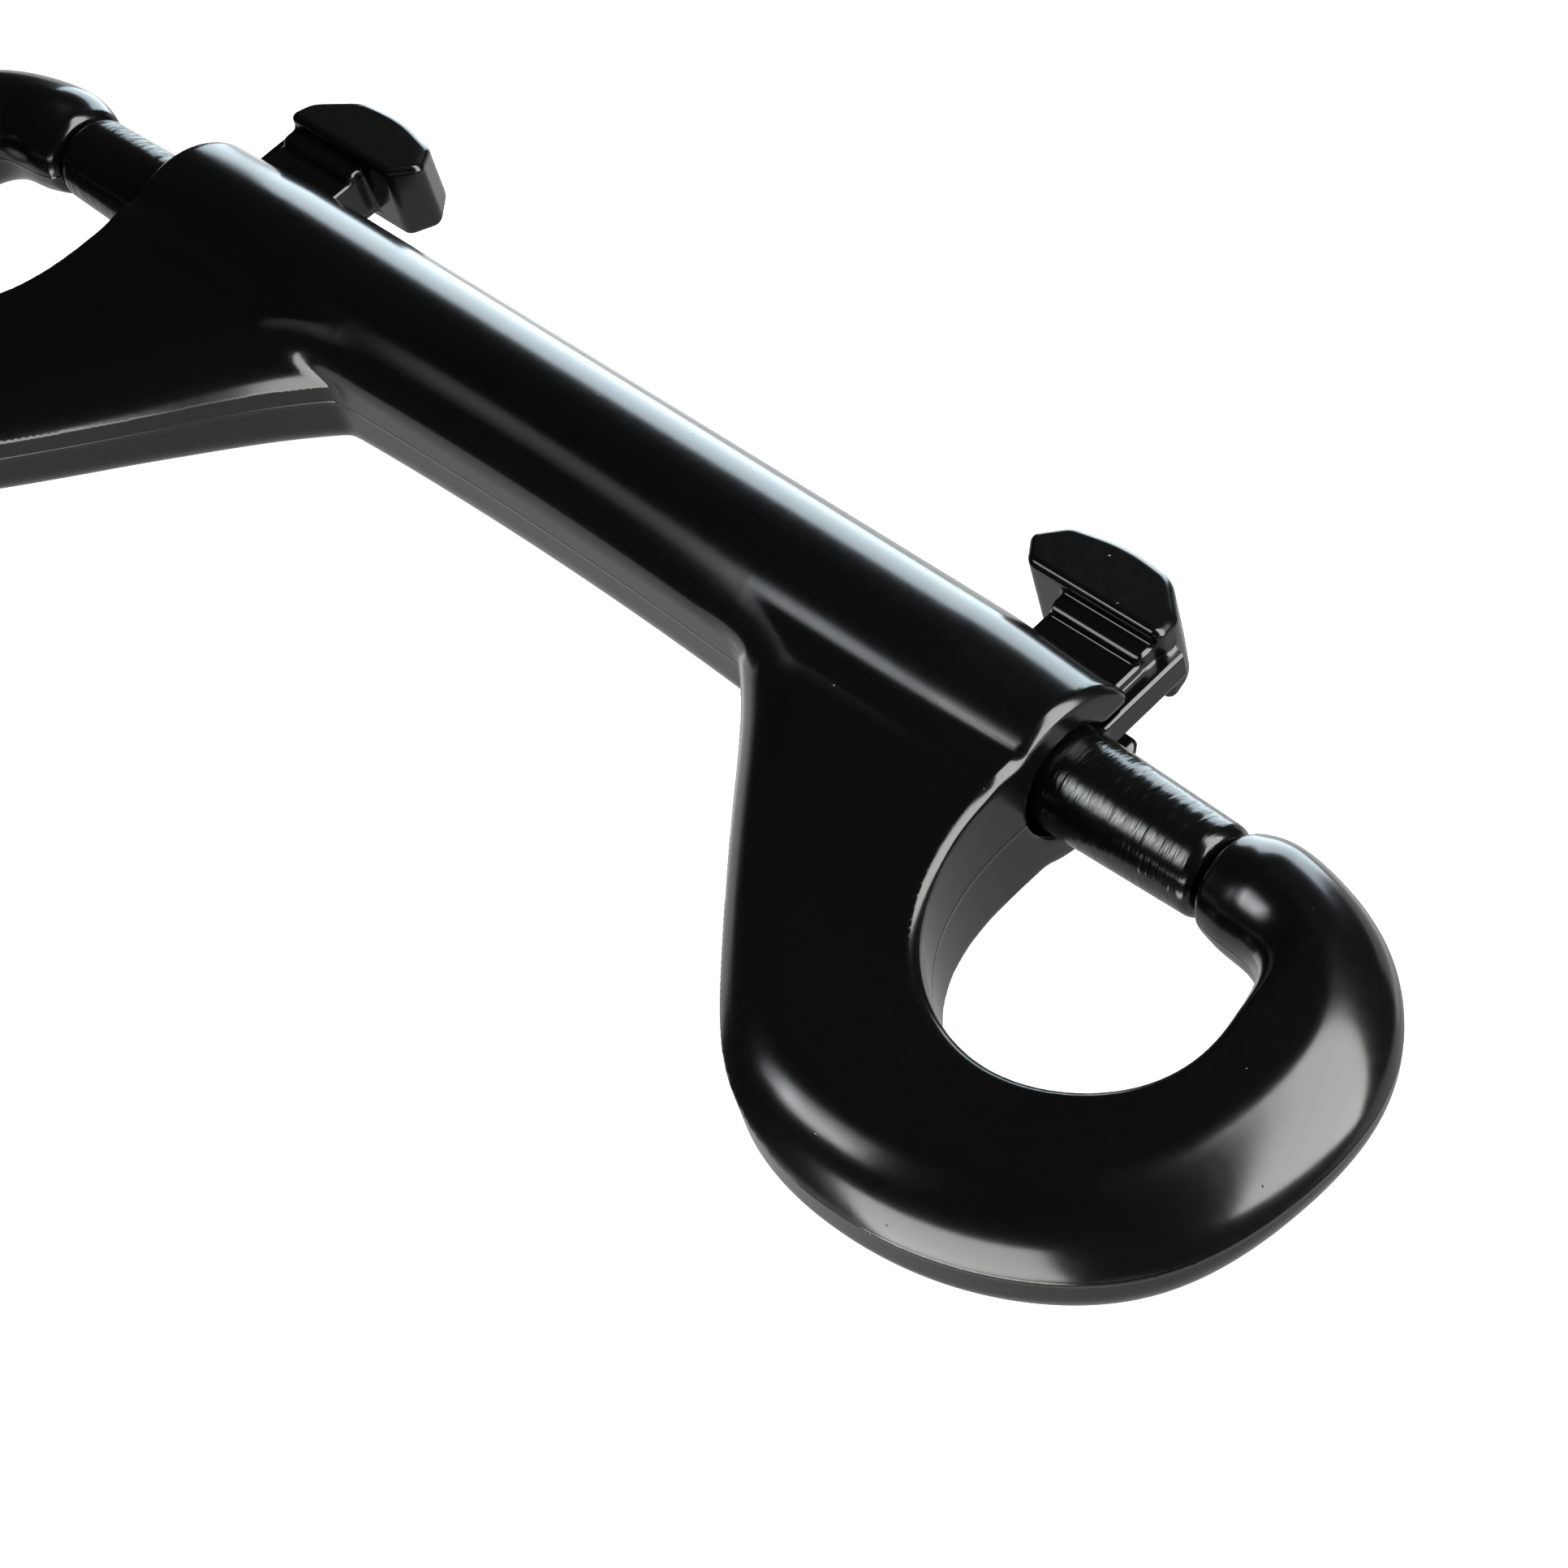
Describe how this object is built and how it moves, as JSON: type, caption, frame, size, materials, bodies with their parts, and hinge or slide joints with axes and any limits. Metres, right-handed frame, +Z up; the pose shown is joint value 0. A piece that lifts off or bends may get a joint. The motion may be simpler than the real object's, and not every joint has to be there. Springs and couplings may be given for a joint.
{
  "type": "double-ended bolt snap",
  "caption": "Enamelled die-cast snap with a round barrel, a hook at each end and a sprung sliding bolt, drawn back by a thumb trigger, closing each hook.",
  "frame": {"origin": "under the middle of the snap's bounding box, on the level of the barrel's lowest line", "axes": "+X along the barrel towards the right hook, +Y from the hooks towards the thumb triggers, +Z up, square to the plane of the hooks"},
  "size_m": [0.1188, 0.0364, 0.0107],
  "materials": {
    "black_enamel": "gloss black enamel over cast zinc alloy",
    "spring_steel": "bright spring steel wire"
  },
  "bodies": {
    "body": {"body": "black_enamel", "right_spring": "spring_steel", "left_spring": "spring_steel"},
    "right_bolt": {"right_bolt": "black_enamel"},
    "left_bolt": {"left_bolt": "black_enamel"}
  },
  "joints": [
    {"name": "right_bolt_slide", "type": "slide", "parent": "body", "child": "right_bolt", "axis": [-1, 0, 0], "range_m": [0, 0.0092], "stiffness_N_per_m": 400, "springref_m": -0.012, "deforming": ["right_spring"]},
    {"name": "left_bolt_slide", "type": "slide", "parent": "body", "child": "left_bolt", "axis": [1, 0, 0], "range_m": [0, 0.0092], "stiffness_N_per_m": 400, "springref_m": -0.012, "deforming": ["left_spring"]}
  ]
}
